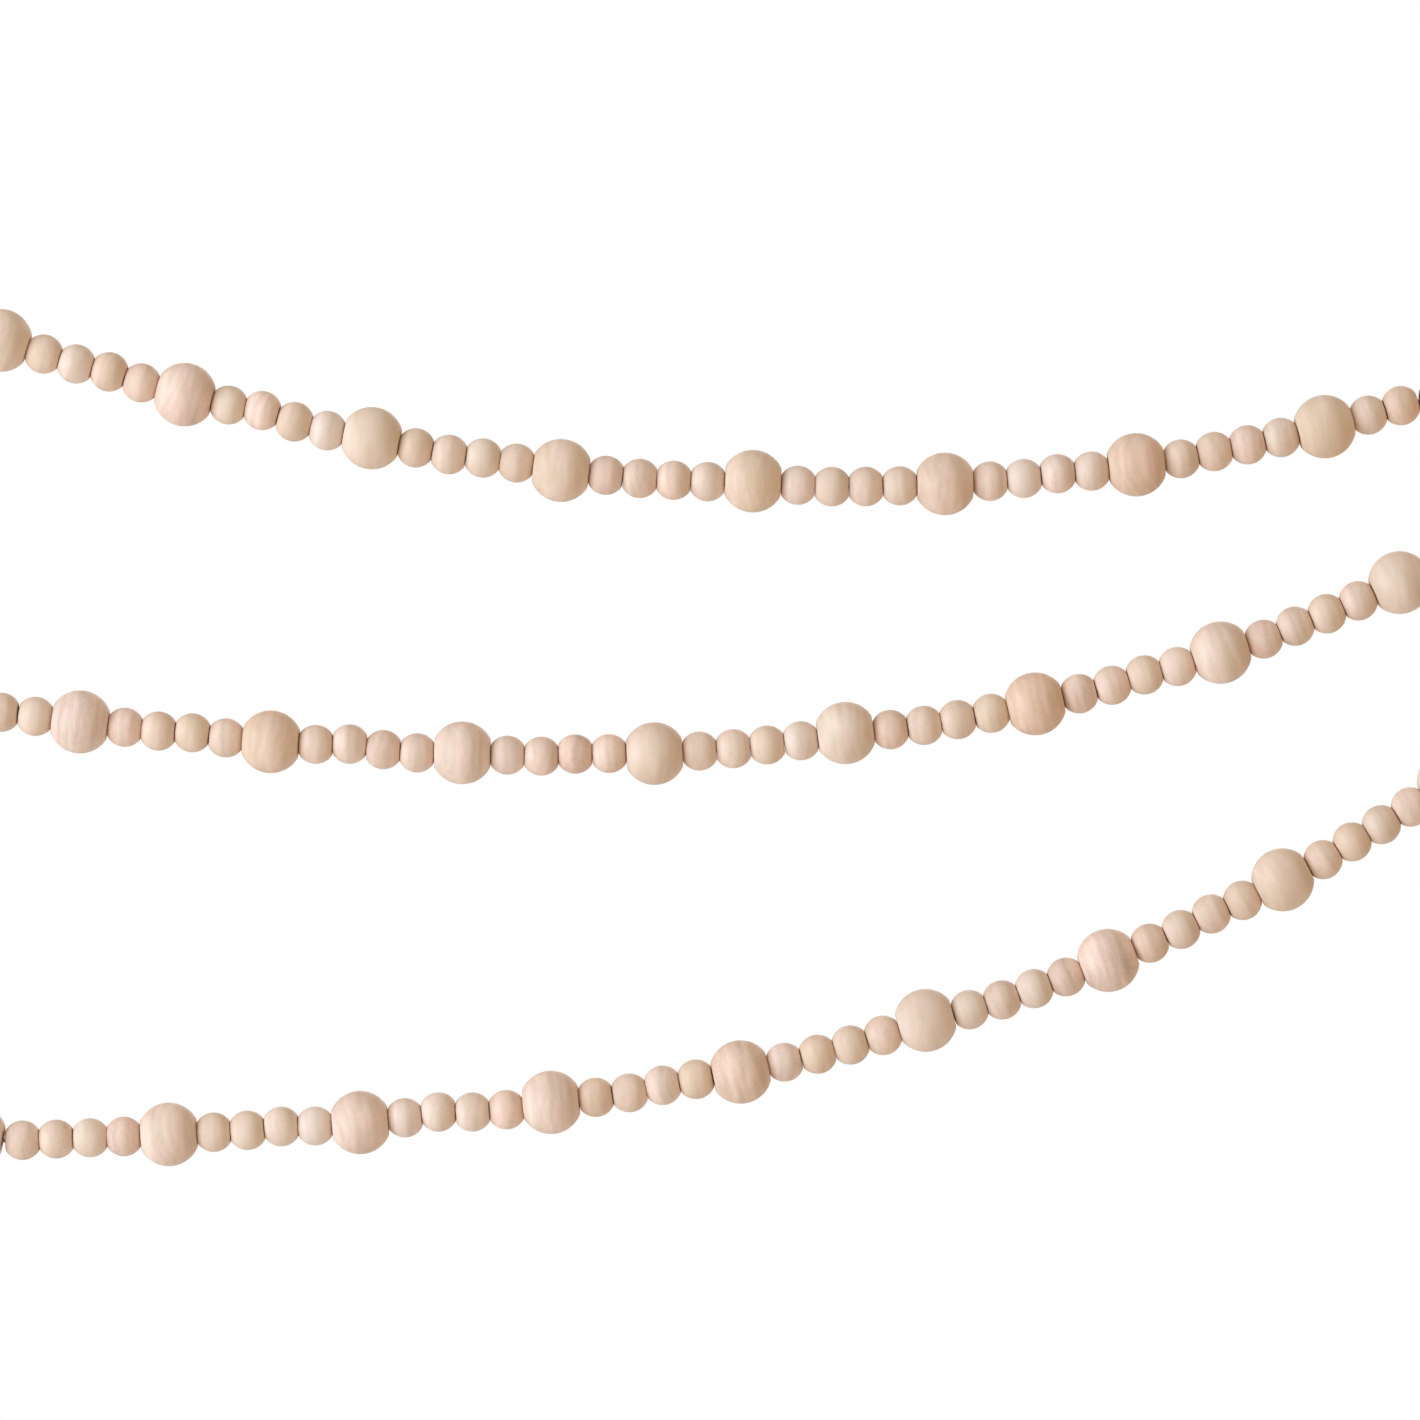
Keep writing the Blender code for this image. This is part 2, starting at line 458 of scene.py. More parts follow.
def garland_route():
    """The whole way from the left loop to the right one: three swags, with the turns between them."""
    right_of_top = beside_peg(RIGHT_PEG, TOP_SWAG.end, -1)
    right_of_middle = beside_peg(RIGHT_PEG, MIDDLE_SWAG.start, -1)
    left_of_middle = beside_peg(UPPER_LEFT_PEG, MIDDLE_SWAG.end, 1)
    left_of_bottom = beside_peg(LOWER_LEFT_PEG, BOTTOM_SWAG.start, 1)
    return Route(
        swag(LEFT_LOOP, right_of_top, TOP_SWAG)
        + turn(RIGHT_PEG, TOP_SWAG.end, MIDDLE_SWAG.start)
        + swag(right_of_middle, left_of_middle, MIDDLE_SWAG)
        + turn(UPPER_LEFT_PEG, MIDDLE_SWAG.end, STRAIGHT_DOWN)
        + turn(LOWER_LEFT_PEG, STRAIGHT_DOWN, BOTTOM_SWAG.start)
        + swag(left_of_bottom, RIGHT_LOOP, BOTTOM_SWAG)
    )


def flat_radius(diameter, length):
    """Radius of the flats of a ball that is cut to this length."""
    return math.sqrt(diameter**2 - length**2) / 2


def string_joints():
    """Places between the beads, from the first bead's outer flat to the last one's."""
    route = garland_route()
    bead_lengths = [BIG_LENGTH] + ([SMALL_LENGTH] * SMALL_IN_RUN + [BIG_LENGTH]) * REPEATS
    rim = flat_radius(SMALL_DIAMETER, SMALL_LENGTH)
    length = END_LENGTH
    joints = [route.at(length)]
    for bead_length in bead_lengths:
        bend = route.bend(length, length + bead_length)
        opening = 2 * rim * math.tan(bend / 2)
        length = route.walk(length, bead_length + opening)
        joints.append(route.at(length))
    return joints


# The beads

Bead = namedtuple("Bead", "place block in_log tone")


def shifts(joints):
    """How far each bead sits out of line, straight across the string and in the garland's plane."""
    lifts = {}
    for first, step in SWAG_COUNTS:
        for count, lift in OUT_OF_LINE.items():
            lifts[first + step * count] = lift
    moved = []
    for number, (start, end) in enumerate(zip(joints, joints[1:])):
        along = (end - start).normalized()
        upwards = Vector((-along.z, 0, along.x)) * math.copysign(1, along.x)
        moved.append(lifts.get(number, 0) * upwards)
    return moved


def set_beads(settings):
    """Every bead along the string: its place, how it lies in its block of wood, and its own tone."""
    chance = np.random.default_rng(BEAD_SEED)
    joints = string_joints()
    beads = []
    for start, end, shift in zip(joints, joints[1:], shifts(joints)):
        thicker = 1 + settings.unevenness * chance.uniform(-1, 1, 2)
        lean = settings.tilt * chance.normal(0, 1, 2)
        rolled = chance.uniform(0, 2 * math.pi)
        turned = (
            (end - start).to_track_quat("Z", "X").to_matrix()
            @ Matrix.Rotation(lean[0], 3, "X")
            @ Matrix.Rotation(lean[1], 3, "Y")
            @ Matrix.Rotation(rolled, 3, "Z")
            @ Matrix.Diagonal((thicker[0], thicker[1], 1.0))
        )
        across_bore = chance.normal(0, GRAIN_LEAN)
        block = Matrix.Rotation(across_bore, 3, "X") @ Matrix.Rotation(math.pi / 2, 3, "Y")
        in_log = chance.uniform(NEAR_IN_LOG, FAR_IN_LOG)
        tone = np.clip(chance.normal(0, 1, 3), -TONE_LIMIT, TONE_LIMIT)
        middle = (start + end) / 2 + shift
        place = Matrix.Translation(middle) @ turned.to_4x4()
        beads.append(Bead(place, np.array(block), in_log, tone))
    return beads


def bead_pattern(name, diameter, length, settings, fineness):
    """Mesh of one bead round Z: a ball with a flat at each end and a bore, its rims rounded."""
    shape = bmesh.new()
    rim = math.acos(length / diameter)
    top = shape.verts.new((diameter / 2 * math.sin(rim), 0, length / 2))
    bmesh.ops.spin(
        shape,
        geom=[top],
        cent=(0, 0, 0),
        axis=(0, 1, 0),
        angle=math.pi - 2 * rim,
        steps=fineness.bands,
    )
    bottom = min(shape.verts, key=lambda vert: vert.co.z)
    inner = bmesh.ops.extrude_vert_indiv(shape, verts=[top, bottom])["verts"]
    for vert in inner:
        vert.co.x = settings.bore / 2
    shape.edges.new(inner)
    bmesh.ops.spin(
        shape,
        geom=shape.verts[:] + shape.edges[:],
        cent=(0, 0, 0),
        axis=(0, 0, 1),
        angle=2 * math.pi,
        steps=fineness.sides,
        use_merge=True,
    )
    bmesh.ops.remove_doubles(shape, verts=shape.verts, dist=SAME_PLACE)
    bmesh.ops.recalc_face_normals(shape, faces=shape.faces)
    rims = [
        edge
        for edge in shape.edges
        if edge.calc_face_angle(0) > RIM_ANGLE
        and all(abs(vert.co.z) > length / 2 - SAME_PLACE for vert in edge.verts)
    ]
    bmesh.ops.bevel(
        shape,
        geom=rims,
        offset=settings.rounding,
        offset_type="OFFSET",
        segments=RIM_SEGMENTS,
        profile=0.5,
        affect="EDGES",
        material=-1,
    )
    mesh = bpy.data.meshes.new(name)
    shape.to_mesh(mesh)
    shape.free()
    return mesh


def bead_piece(name, pattern, beads, surface):
    """One piece of one or more beads on the same pattern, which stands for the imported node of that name.

    Its points carry what the wood needs: their place in the turned bead and in the log, and the bead's tone.
    """
    shape = bmesh.new()
    for bead in beads:
        made = len(shape.verts)
        shape.from_mesh(pattern)
        shape.verts.ensure_lookup_table()
        bmesh.ops.transform(shape, matrix=bead.place, verts=shape.verts[made:])
    mesh = bpy.data.meshes.new(name + "_turned")
    shape.to_mesh(mesh)
    shape.free()
    in_bead = np.array([vert.co for vert in pattern.vertices])
    in_logs = [in_bead @ bead.block.T + bead.in_log for bead in beads]
    add_vectors(mesh, "turning", np.tile(in_bead, (len(beads), 1)))
    add_vectors(mesh, "grain", np.concatenate(in_logs))
    add_vectors(mesh, "tone", np.repeat([bead.tone for bead in beads], len(in_bead), axis=0))
    show(name + "_turned", mesh, surface, name)


def add_vectors(mesh, name, vectors):
    """Gives every point of a mesh a vector of its own, for the material to read."""
    attribute = mesh.attributes.new(name, "FLOAT_VECTOR", "POINT")
    attribute.data.foreach_set("vector", vectors.astype(np.float32).ravel())


def show(name, mesh, surface, node):
    """Puts a finished mesh in the scene, on the garland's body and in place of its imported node."""
    mesh.materials.clear()
    mesh.materials.append(surface)
    mesh.shade_smooth()
    piece = bpy.data.objects.new(name, mesh)
    bpy.context.scene.collection.objects.link(piece)
    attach(piece, BODY)
    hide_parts(node)


# The string


def knot_frame(flat, next_joint, far):
    """Middle of a knot, its direction away from the beads, and the direction across its loop."""
    outwards = (flat - next_joint).normalized()
    knot = flat + KNOT_FROM_FLAT * outwards
    across = (far - knot).cross(Vector((0, 1, 0))).normalized()
    return knot, outwards, across


def hanging_end(knot, outwards, across, far, settings):
    """Points of one end of the string: its tail, the knot's turns, the loop, and back through the turns."""
    pitch = COIL_PITCH * settings.diameter
    coil_radius = COIL_RADIUS * settings.diameter
    height = KNOT_TURNS * pitch
    along_loop = far - knot
    forward = outwards.cross(across)
    points = []
    for share in np.linspace(1, 0, TAIL_POINTS + 1)[:-1].tolist():
        points.append(
            knot
            - height / 2 * outwards
            + (coil_radius + TAIL_ASIDE * settings.tail * share) * across
            - settings.tail * share * forward
            + TAIL_OUTWARDS * settings.tail * share * outwards
        )
    for share in np.linspace(0, 1, KNOT_TURNS * COIL_POINTS).tolist():
        angle = 2 * math.pi * KNOT_TURNS * share
        points.append(
            knot
            + height * (share - 0.5) * outwards
            + coil_radius * (math.cos(angle) * across + math.sin(angle) * forward)
        )
    start = points[-1] - knot
    for angle in np.linspace(0, 2 * math.pi, LOOP_POINTS + 1)[1:]:
        swell = math.sin(angle) * math.sin(angle / 2) / WIDEST
        aside = (settings.loop_width - settings.diameter) / 2 * swell
        reach = (1 - math.cos(angle)) / 2
        from_coil = (1 + math.cos(min(angle, math.pi))) / 2
        points.append(knot + reach * along_loop + aside * across + from_coil * start)
    points.append(knot - height / 2 * outwards)
    return points


def lengths_along(places):
    """How far along its way each place lies."""
    return np.append(0, np.cumsum(np.linalg.norm(np.diff(places, axis=0), axis=1)))


def even_steps(points, step):
    """The same way in even steps."""
    places = np.array(points)
    lengths = lengths_along(places)
    wanted = np.linspace(0, lengths[-1], round(lengths[-1] / step) + 1)
    return np.stack([np.interp(wanted, lengths, column) for column in places.T], axis=1)


def eased(places, passes):
    """The way with its corners eased; its ends stay."""
    for _ in range(passes):
        middle = (places[:-2] + 2 * places[1:-1] + places[2:]) / 4
        places = np.concatenate([places[:1], middle, places[-1:]])
    return places


def bore_ends(joints):
    """The joints moved with the beads that sit out of line, so that the string stays in every bore."""
    moved = [Vector(), *shifts(joints), Vector()]
    return [joint + (before + after) / 2 for joint, before, after in zip(joints, moved, moved[1:])]


def string_way(settings):
    """Points of the whole string, from the left tail through every bead to the right one."""
    joints = string_joints()
    ends = []
    for flat, next_joint, loop in ((joints[0], joints[1], LEFT_LOOP), (joints[-1], joints[-2], RIGHT_LOOP)):
        far = Vector((loop.x, 0, loop.z))
        end = hanging_end(*knot_frame(flat, next_joint, far), far, settings)
        ends.append(eased(even_steps(end, STRING_STEP / 2), END_EASING))
    left, right = ends
    through_beads = even_steps([left[-1], *bore_ends(joints), right[-1]], STRING_STEP)
    return np.concatenate([left[:-1], eased(through_beads, BORE_EASING), right[-2::-1]])


def ply_section(diameter):
    """Section of the string, its plies side by side, as a closed curve."""
    curve = bpy.data.curves.new("plies", "CURVE")
    curve.dimensions = "2D"
    spline = curve.splines.new("POLY")
    spline.points.add(PLIES * PLY_POINTS - 1)
    for number, point in enumerate(spline.points):
        angle = 2 * math.pi * number / (PLIES * PLY_POINTS)
        crown = abs(math.sin(PLIES / 2 * angle))
        radius = diameter / 2 * (PLY_VALLEY + (1 - PLY_VALLEY) * crown)
        point.co = (radius * math.cos(angle), radius * math.sin(angle), 0, 1)
    spline.use_cyclic_u = True
    section = bpy.data.objects.new("plies", curve)
    bpy.context.scene.collection.objects.link(section)
    return section


def twisted_cord(name, places, settings):
    """Closed mesh of the twisted string along these places."""
    section = ply_section(settings.diameter)
    curve = bpy.data.curves.new(name, "CURVE")
    curve.dimensions = "3D"
    curve.twist_mode = "MINIMUM"
    curve.bevel_mode = "OBJECT"
    curve.bevel_object = section
    curve.use_fill_caps = True
    spline = curve.splines.new("POLY")
    spline.points.add(len(places) - 1)
    for point, place, length in zip(spline.points, places, lengths_along(places)):
        point.co = (*place, 1)
        point.tilt = 2 * math.pi * (length / settings.lay % 1)
    guide = bpy.data.objects.new(name, curve)
    bpy.context.scene.collection.objects.link(guide)
    graph = bpy.context.evaluated_depsgraph_get()
    mesh = bpy.data.meshes.new_from_object(guide.evaluated_get(graph))
    bpy.data.objects.remove(guide)
    bpy.data.objects.remove(section)
    shape = bmesh.new()
    shape.from_mesh(mesh)
    bmesh.ops.remove_doubles(shape, verts=shape.verts, dist=SAME_PLACE)
    bmesh.ops.recalc_face_normals(shape, faces=shape.faces)
    shape.to_mesh(mesh)
    shape.free()
    return mesh


# Finishes

# Patterns of noise: about how many features come to a metre, their detail, and the share of that number along
# each axis, where a small share makes them long
Pattern = namedtuple("Pattern", "scale detail shares")
EVEN = (1.0, 1.0, 1.0)
NOISE_MEAN = 0.5

# In the wood: the grain runs along Z in the log, and the tool's marks run round the bead. The rings and the
# edge of the darkened flats (their end grain, with painted shade in the crease between beads) wander by up to
# half of the last two lengths
RING_WARP = Pattern(160.0, 1.0, EVEN)
BANDS = Pattern(300.0, 1.0, (1.0, 0.35, 0.12))
FIBRES = Pattern(2600.0, 2.0, (1.0, 0.6, 0.05))
PORES = Pattern(3400.0, 1.0, (1.0, 1.0, 0.16))
FLUSH = Pattern(420.0, 1.0, (1.0, 0.6, 0.3))
TOOLING = Pattern(2200.0, 1.0, (0.0, 0.0, 1.0))
FLAT_EDGE_NOISE = Pattern(900.0, 2.0, EVEN)
RING_WANDER = 2.2 * MM
FLAT_EDGE_WANDER = 0.5 * MM

# Where a pore, a rosy patch and the darkened flat begin and end, the last in shares of the flat's radius. The
# darkened flat is partly end grain and partly painted shade in the crease where the beads touch
Edges = namedtuple("Edges", "low high")
PORE_EDGES = Edges(0.66, 0.78)
FLUSH_EDGES = Edges(0.38, 0.66)
DARK_FLAT_EDGES = Edges(0.94, 1.11)

# How pale and how rosy the wood is, by how much that differs, and how much brighter in colour some beads are
PALENESS = 0.5
PALENESS_OF_BEADS = 0.23
PALENESS_OF_BANDS = 1.6
ROSINESS = 0.08
ROSINESS_OF_FLUSH = 0.32
ROSINESS_OF_BEADS = 0.17
BRIGHTNESS_OF_BEADS = 0.05

# How light the wood is, by how much that differs, and how much more figured some beads are
LIGHTNESS = 0.985
LIGHTNESS_OF_RINGS = 0.022
LIGHTNESS_OF_FIBRES = 0.2
LIGHTNESS_OF_BANDS = 0.39
LIGHTNESS_OF_TOOLING = 0.07
DARKNESS_OF_PORES = 0.1
FIGURE_OF_BEADS = 0.3

# The feel of the wood
HEIGHT_OF_FIBRES = 0.5
HEIGHT_OF_TOOLING = 0.35
WOOD_RELIEF = 0.06 * MM
WOOD_RELIEF_STRENGTH = 0.35
ROUGHNESS_OF_FIBRES = 0.16
ROUGHNESS_OF_PORES = 0.1
ROUGHNESS_OF_FLATS = 0.1
WOOD_SPECULAR = 0.35

# The cotton
FUZZ = Pattern(7000.0, 2.0, EVEN)
MOTTLE = Pattern(900.0, 1.0, EVEN)
COTTON_LIGHTNESS = 0.9
LIGHTNESS_OF_FUZZ = 0.35
LIGHTNESS_OF_MOTTLE = 0.15
COTTON_RELIEF = 0.08 * MM
COTTON_RELIEF_STRENGTH = 0.6
COTTON_ROUGHNESS = 0.95
COTTON_SHEEN = 0.25
COTTON_SHEEN_ROUGHNESS = 0.5

# Faint clouds on the floor
CLOUDS = Pattern(5.0, 2.0, EVEN)

# Sockets of a Mix node for colours, by number, because others of its sockets have the same names
MIX_SHARE = 0
MIX_FIRST = 6
MIX_SECOND = 7
MIX_RESULT = 2


def fill(node, values):
    """Gives a node's sockets their values or links."""
    for name, value in values.items():
        if isinstance(value, Socket):
            value.tree.links.new(value.output, node.inputs[name])
        else:
            node.inputs[name].default_value = value


class Socket:
    """An output in a node tree. Arithmetic on it adds Math nodes."""

    def __init__(self, tree, output):
        self.tree = tree
        self.output = output

    @classmethod
    def of(cls, tree, kind, settings=None, values=None, output=0):
        """Adds a node: first its settings, then the values or links of its sockets."""
        node = tree.nodes.new("ShaderNode" + kind)
        for name, setting in (settings or {}).items():
            setattr(node, name, setting)
        fill(node, values or {})
        return cls(tree, node.outputs[output])

    def math(self, operation, *others):
        """A Math node of this value and any others."""
        return Socket.of(self.tree, "Math", {"operation": operation}, dict(enumerate((self, *others))))

    def __add__(self, other):
        return self.math("ADD", other)

    __radd__ = __add__

    def __sub__(self, other):
        return self.math("SUBTRACT", other)

    def __rsub__(self, other):
        return self * -1 + other

    def __mul__(self, other):
        return self.math("MULTIPLY", other)

    __rmul__ = __mul__

    def parts(self):
        """The X, Y and Z of a vector."""
        split = Socket.of(self.tree, "SeparateXYZ", {}, {"Vector": self})
        return [Socket(self.tree, output) for output in split.output.node.outputs]

    def centred(self):
        """Noise moved to a mean of 0."""
        return self - NOISE_MEAN

    def smooth_step(self, low, high):
        """0 below low, 1 above high and a soft rise between them."""
        ranges = {"Value": self, "From Min": low, "From Max": high}
        return Socket.of(self.tree, "MapRange", {"interpolation_type": "SMOOTHSTEP"}, ranges)


def new_finish(name):
    """A material, its node tree and its surface shader."""
    made = bpy.data.materials.new(name)
    made.use_nodes = True
    return made, made.node_tree, made.node_tree.nodes["Principled BSDF"]


def noise(tree, vector, pattern):
    """Soft noise from 0 to 1 in this pattern."""
    drawn_out = Socket.of(tree, "Mapping", {}, {"Vector": vector, "Scale": pattern.shares})
    values = {"Vector": drawn_out, "Scale": pattern.scale, "Detail": pattern.detail}
    return Socket.of(tree, "TexNoise", {}, values)


def blended(tree, share, first, second):
    """A colour that goes from the first one to the second as the share goes from 0 to 1."""
    values = {MIX_SHARE: share, MIX_FIRST: first, MIX_SECOND: second}
    return Socket.of(tree, "Mix", {"data_type": "RGBA"}, values, output=MIX_RESULT)


def scaled(tree, colour, lightness):
    """A colour made lighter or darker."""
    return Socket.of(tree, "VectorMath", {"operation": "SCALE"}, {"Vector": colour, "Scale": lightness})


def relief(tree, height, depth, strength):
    """The surface's normal over fine relief of this depth."""
    return Socket.of(tree, "Bump", {}, {"Strength": strength, "Distance": depth, "Height": height})


def bead_wood(name, wood, diameter, length, end_grain_and_shade_share):
    """Bare sanded wood of one bead size: growth rings, fibres and pores follow each bead's own block.

    Its flats, bore and the rims beside them are darkened, partly as end grain and partly as painted shade in
    the crease where the beads touch.
    """
    made, tree, surface = new_finish(name)
    turning, grain, tone = (
        Socket.of(tree, "Attribute", {"attribute_name": attribute}, output="Vector")
        for attribute in ("turning", "grain", "tone")
    )
    pale, bright, marked = tone.parts()
    x, y, _ = turning.parts()
    radius = (x * x + y * y).math("SQRT")

    grain_x, grain_y, _ = grain.parts()
    warp = noise(tree, grain, RING_WARP).centred() * RING_WANDER
    from_pith = (grain_x * grain_x + grain_y * grain_y).math("SQRT") + warp
    ring = (from_pith * (2 * math.pi / wood.ring_pitch)).math("SINE")
    bands = noise(tree, grain, BANDS).centred()
    fibres = noise(tree, grain, FIBRES)
    pores = noise(tree, grain, PORES).smooth_step(*PORE_EDGES)
    flush = noise(tree, grain, FLUSH).smooth_step(*FLUSH_EDGES)
    tooling = noise(tree, turning, TOOLING)
    # Painted shade: the flats, the bore and the rims beside them go dark, partly as end grain and partly as
    # shade painted into the crease where the beads touch; this noise moves the edge
    flat_edge_shift = noise(tree, turning, FLAT_EDGE_NOISE).centred() * FLAT_EDGE_WANDER
    rim = flat_radius(diameter, length)
    end_grain_and_shade = 1 - (radius + flat_edge_shift).smooth_step(DARK_FLAT_EDGES.low * rim, DARK_FLAT_EDGES.high * rim)

    paleness = PALENESS + pale * PALENESS_OF_BEADS + bands * PALENESS_OF_BANDS
    colour = blended(tree, paleness, (*wood.tan, 1.0), (*wood.pale, 1.0))
    rosiness = ROSINESS + flush * ROSINESS_OF_FLUSH + marked * ROSINESS_OF_BEADS
    colour = blended(tree, rosiness, colour, (*wood.rose, 1.0))
    colour = Socket.of(tree, "Gamma", {}, {"Color": colour, "Gamma": 1 - bright * BRIGHTNESS_OF_BEADS})
    figure = (
        ring * LIGHTNESS_OF_RINGS
        + fibres.centred() * LIGHTNESS_OF_FIBRES
        + bands * LIGHTNESS_OF_BANDS
        + tooling.centred() * LIGHTNESS_OF_TOOLING
    )
    lightness = LIGHTNESS + figure * (1 + marked * FIGURE_OF_BEADS) - pores * DARKNESS_OF_PORES
    colour = scaled(tree, colour, lightness)
    # Painted shade in the crease between the beads, together with the darker end grain of the flats and the
    # bore
    colour = blended(tree, end_grain_and_shade * end_grain_and_shade_share, colour, (*wood.end_grain_and_shade, 1.0))
    height = fibres * HEIGHT_OF_FIBRES + tooling * HEIGHT_OF_TOOLING - pores
    roughness = (
        wood.roughness
        + fibres.centred() * ROUGHNESS_OF_FIBRES
        + pores * ROUGHNESS_OF_PORES
        + end_grain_and_shade * ROUGHNESS_OF_FLATS
    )
    values = {
        "Base Color": colour,
        "Roughness": roughness,
        "Normal": relief(tree, height, WOOD_RELIEF, WOOD_RELIEF_STRENGTH),
        "Specular IOR Level": WOOD_SPECULAR,
    }
    fill(surface, values)
    return made


def cotton(name, colour):
    """Undyed cotton: matt, mottled and a little fuzzy."""
    made, tree, surface = new_finish(name)
    place = Socket.of(tree, "TexCoord", output="Object")
    fuzz = noise(tree, place, FUZZ)
    mottle = noise(tree, place, MOTTLE)
    lightness = COTTON_LIGHTNESS + fuzz.centred() * LIGHTNESS_OF_FUZZ + mottle.centred() * LIGHTNESS_OF_MOTTLE
    values = {
        "Base Color": scaled(tree, tuple(colour), lightness),
        "Roughness": COTTON_ROUGHNESS,
        "Normal": relief(tree, fuzz, COTTON_RELIEF, COTTON_RELIEF_STRENGTH),
        "Sheen Weight": COTTON_SHEEN,
        "Sheen Roughness": COTTON_SHEEN_ROUGHNESS,
    }
    fill(surface, values)
    return made


# The operators


class GARLAND_OT_big_beads(bpy.types.Operator):
    """Turn the big beads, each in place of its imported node"""

    bl_idname = "garland.big_beads"
    bl_label = "Big beads"

    def execute(self, context):
        settings = context.scene.garland_beads
        wood = context.scene.garland_wood
        pattern = bead_pattern("big_pattern", settings.big_diameter, BIG_LENGTH, settings, BIG_FINENESS)
        surface = bead_wood("big bead wood", wood, settings.big_diameter, BIG_LENGTH, wood.big_end_grain_and_shade)
        for number, bead in enumerate(set_beads(settings)[:: SMALL_IN_RUN + 1]):
            bead_piece(f"big_bead_{number + 1:02d}", pattern, [bead], surface)
        bpy.data.meshes.remove(pattern)
        return {"FINISHED"}


class GARLAND_OT_small_beads(bpy.types.Operator):
    """Turn the small beads, four to each run between two big ones"""

    bl_idname = "garland.small_beads"
    bl_label = "Small beads"

    def execute(self, context):
        settings = context.scene.garland_beads
        wood = context.scene.garland_wood
        length = SMALL_LENGTH - settings.gap
        pattern = bead_pattern("small_pattern", settings.small_diameter, length, settings, SMALL_FINENESS)
        surface = bead_wood("small bead wood", wood, settings.small_diameter, length, wood.small_end_grain_and_shade)
        beads = set_beads(settings)
        for number in range(REPEATS):
            first = number * (SMALL_IN_RUN + 1) + 1
            run = beads[first : first + SMALL_IN_RUN]
            bead_piece(f"small_beads_{number + 1:02d}", pattern, run, surface)
        bpy.data.meshes.remove(pattern)
        return {"FINISHED"}


class GARLAND_OT_string(bpy.types.Operator):
    """Lay the twisted string through the beads and knot its ends into loops"""

    bl_idname = "garland.string"
    bl_label = "String"

    def execute(self, context):
        settings = context.scene.garland_string
        mesh = twisted_cord("string_twisted", string_way(settings), settings)
        show("string_twisted", mesh, cotton("undyed cotton", settings.colour), "string")
        return {"FINISHED"}


class GARLAND_OT_stage(bpy.types.Operator):
    """Set the floor, the lights and the camera"""

    bl_idname = "garland.stage"
    bl_label = "Stage"

    def execute(self, context):
        settings = context.scene.garland_stage
        add_floor(settings.floor_drop)
        add_room_light(settings.room)
        middle = Vector((VIEW_MIDDLE.x, 0, VIEW_MIDDLE.z))
        add_softbox(WINDOW_LIGHT, middle, settings.key)
        add_softbox(SKY_LIGHT, middle, settings.sky)
        add_softbox(BACK_LIGHT, middle, settings.back)
        add_camera(middle)
        context.scene.view_settings.view_transform = "Standard"
        return {"FINISHED"}


def pale_floor(name):
    """Matt and almost white, with faint clouds."""
    made, tree, surface = new_finish(name)
    place = Socket.of(tree, "TexCoord", output="Object")
    lightness = FLOOR_LIGHTNESS + noise(tree, place, CLOUDS).centred() * FLOOR_CLOUDINESS
    fill(surface, {"Base Color": scaled(tree, FLOOR_COLOUR, lightness), "Roughness": FLOOR_ROUGHNESS})
    return made


def add_floor(drop):
    """A round floor under the middle of the garland."""
    shape = bmesh.new()
    bmesh.ops.create_circle(shape, cap_ends=True, radius=FLOOR_RADIUS, segments=FLOOR_SIDES)
    bmesh.ops.translate(shape, verts=shape.verts, vec=(VIEW_MIDDLE.x, 0.0, -drop))
    mesh = bpy.data.meshes.new("floor")
    shape.to_mesh(mesh)
    shape.free()
    mesh.materials.append(pale_floor("pale floor"))
    floor = bpy.data.objects.new("floor", mesh)
    bpy.context.scene.collection.objects.link(floor)


def add_room_light(strength):
    """Even light from all round, in front of which the picture stays white."""
    world = bpy.data.worlds.new("room")
    world.use_nodes = True
    tree = world.node_tree
    tree.nodes.remove(tree.nodes["Background"])
    room = Socket.of(tree, "Background", {}, {"Color": ROOM_COLOUR, "Strength": strength})
    white = Socket.of(tree, "Background", {}, {"Color": WHITE, "Strength": 1.0})
    seen = Socket.of(tree, "LightPath", output="Is Camera Ray")
    mixed = Socket.of(tree, "MixShader", {}, {0: seen, 1: room, 2: white})
    fill(tree.nodes["World Output"], {"Surface": mixed})
    bpy.context.scene.world = world


def add_softbox(softbox, middle, power):
    """A broad light that faces the garland from where it stands."""
    data = bpy.data.lights.new(softbox.name, "AREA")
    data.shape = "RECTANGLE"
    data.size = SOFTBOX_WIDTH
    data.size_y = SOFTBOX_HEIGHT
    data.energy = power
    data.color = softbox.colour
    light = bpy.data.objects.new(softbox.name, data)
    around = math.radians(softbox.around)
    up = math.radians(softbox.up)
    away = Vector((math.sin(around) * math.cos(up), -math.cos(around) * math.cos(up), math.sin(up)))
    light.location = middle + SOFTBOX_DISTANCE * away
    light.rotation_euler = away.to_track_quat("Z", "Y").to_euler()
    light.visible_camera = False
    bpy.context.scene.collection.objects.link(light)


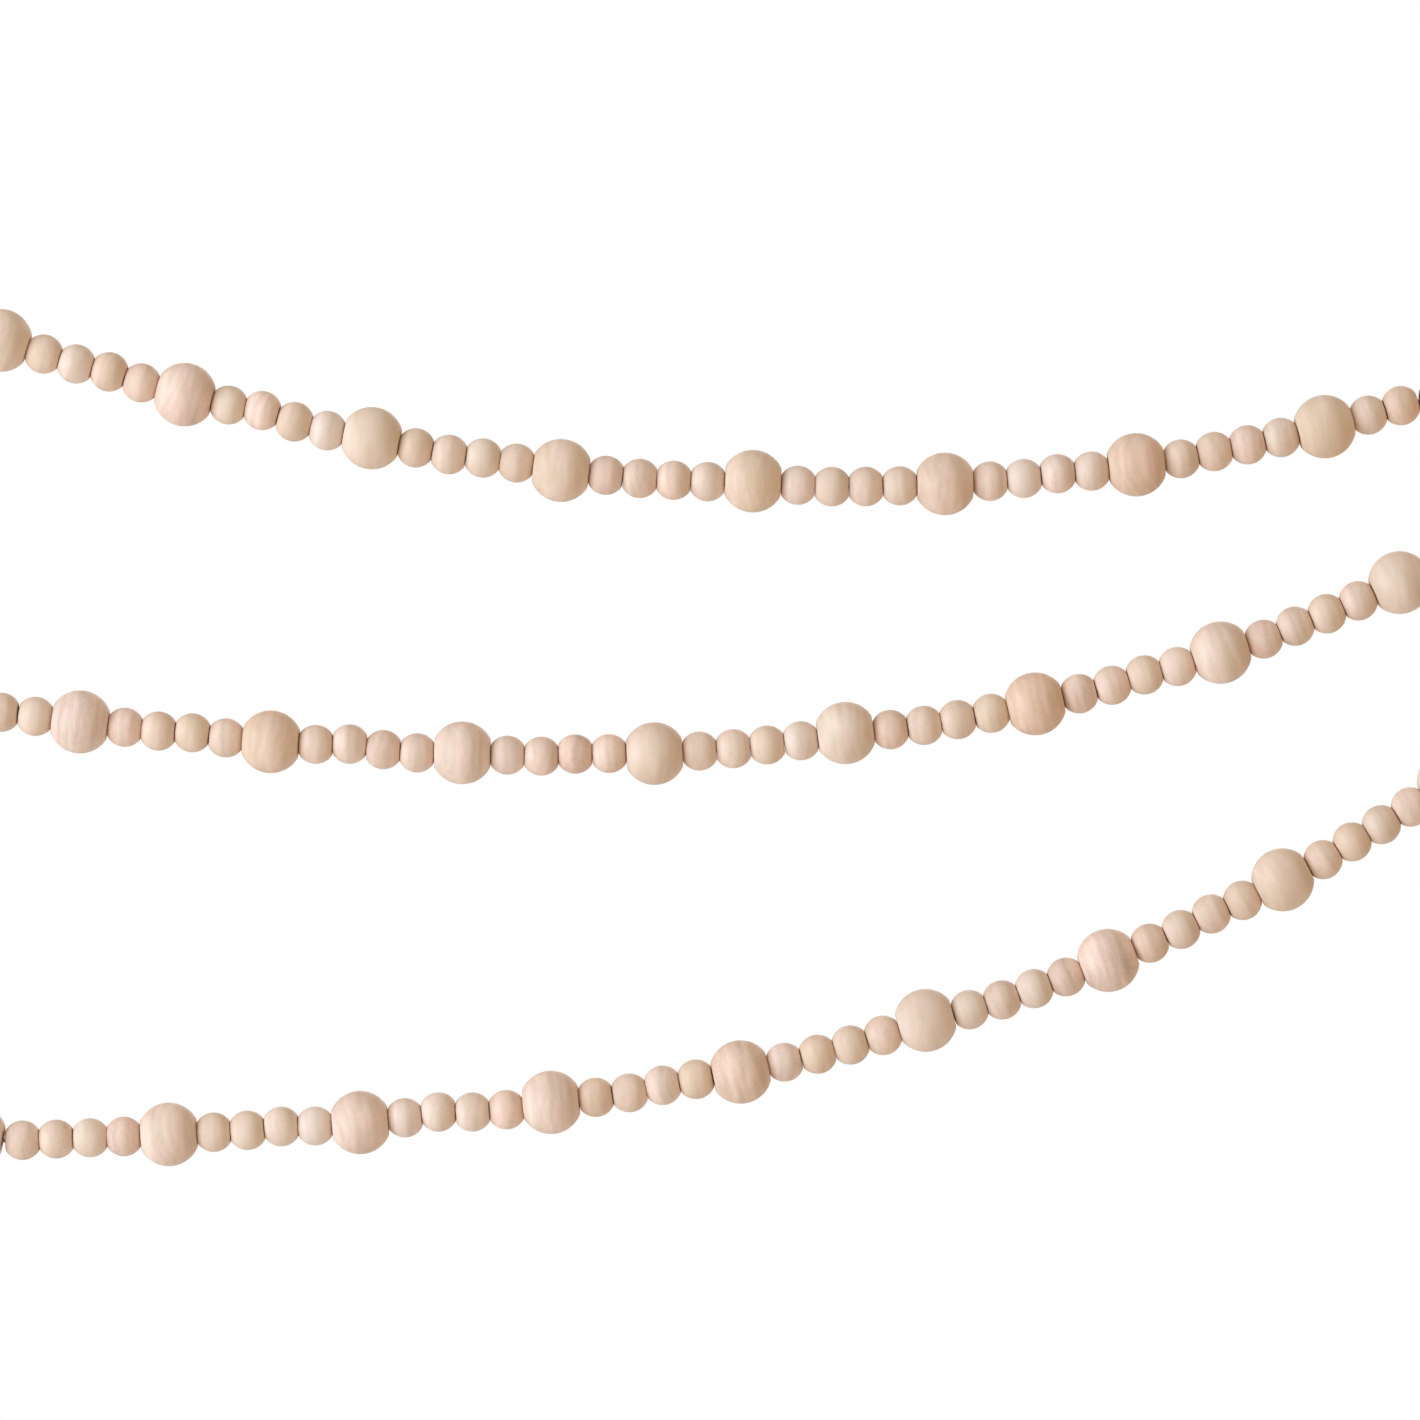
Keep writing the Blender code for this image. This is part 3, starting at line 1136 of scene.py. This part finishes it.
def add_camera(middle):
    """A long lens straight in front of the middle of the garland."""
    data = bpy.data.cameras.new("camera")
    data.lens = LENS
    data.sensor_width = SENSOR
    data.clip_start = NEAREST_SEEN
    data.clip_end = FARTHEST_SEEN
    camera = bpy.data.objects.new("camera", data)
    camera.location = middle - Vector((0, VIEW_WIDTH * LENS / SENSOR, 0))
    camera.rotation_euler = (math.pi / 2, 0, 0)
    bpy.context.scene.collection.objects.link(camera)
    bpy.context.scene.camera = camera


SECTIONS = (
    ("garland_beads", "Beads", ("garland.big_beads", "garland.small_beads")),
    ("garland_wood", "Wood", ()),
    ("garland_string", "String", ("garland.string",)),
    ("garland_stage", "Stage", ("garland.stage",)),
)


class GARLAND_PT_sidebar(bpy.types.Panel):
    """Settings and steps of the garland"""

    bl_idname = "GARLAND_PT_sidebar"
    bl_label = "Wood bead garland"
    bl_space_type = "VIEW_3D"
    bl_region_type = "UI"
    bl_category = "Garland"

    def draw(self, context):
        for name, title, operators in SECTIONS:
            box = self.layout.box()
            box.label(text=title)
            settings = getattr(context.scene, name)
            for setting in settings.bl_rna.properties.keys():
                if setting not in ("rna_type", "name"):
                    box.prop(settings, setting)
            for operator in operators:
                box.operator(operator)


GROUPS = {
    "garland_beads": BeadSettings,
    "garland_wood": WoodSettings,
    "garland_string": StringSettings,
    "garland_stage": StageSettings,
}
CLASSES = (
    *GROUPS.values(),
    GARLAND_OT_big_beads,
    GARLAND_OT_small_beads,
    GARLAND_OT_string,
    GARLAND_OT_stage,
    GARLAND_PT_sidebar,
)


def register():
    for made in CLASSES:
        bpy.utils.register_class(made)
    for name, group in GROUPS.items():
        setattr(bpy.types.Scene, name, PointerProperty(type=group))


def unregister():
    for name in GROUPS:
        delattr(bpy.types.Scene, name)
    for made in reversed(CLASSES):
        bpy.utils.unregister_class(made)


def main():
    register()
    bpy.ops.garland.stage()
    bpy.ops.garland.big_beads()
    bpy.ops.garland.small_beads()
    bpy.ops.garland.string()


if __name__ == "__main__":
    main()
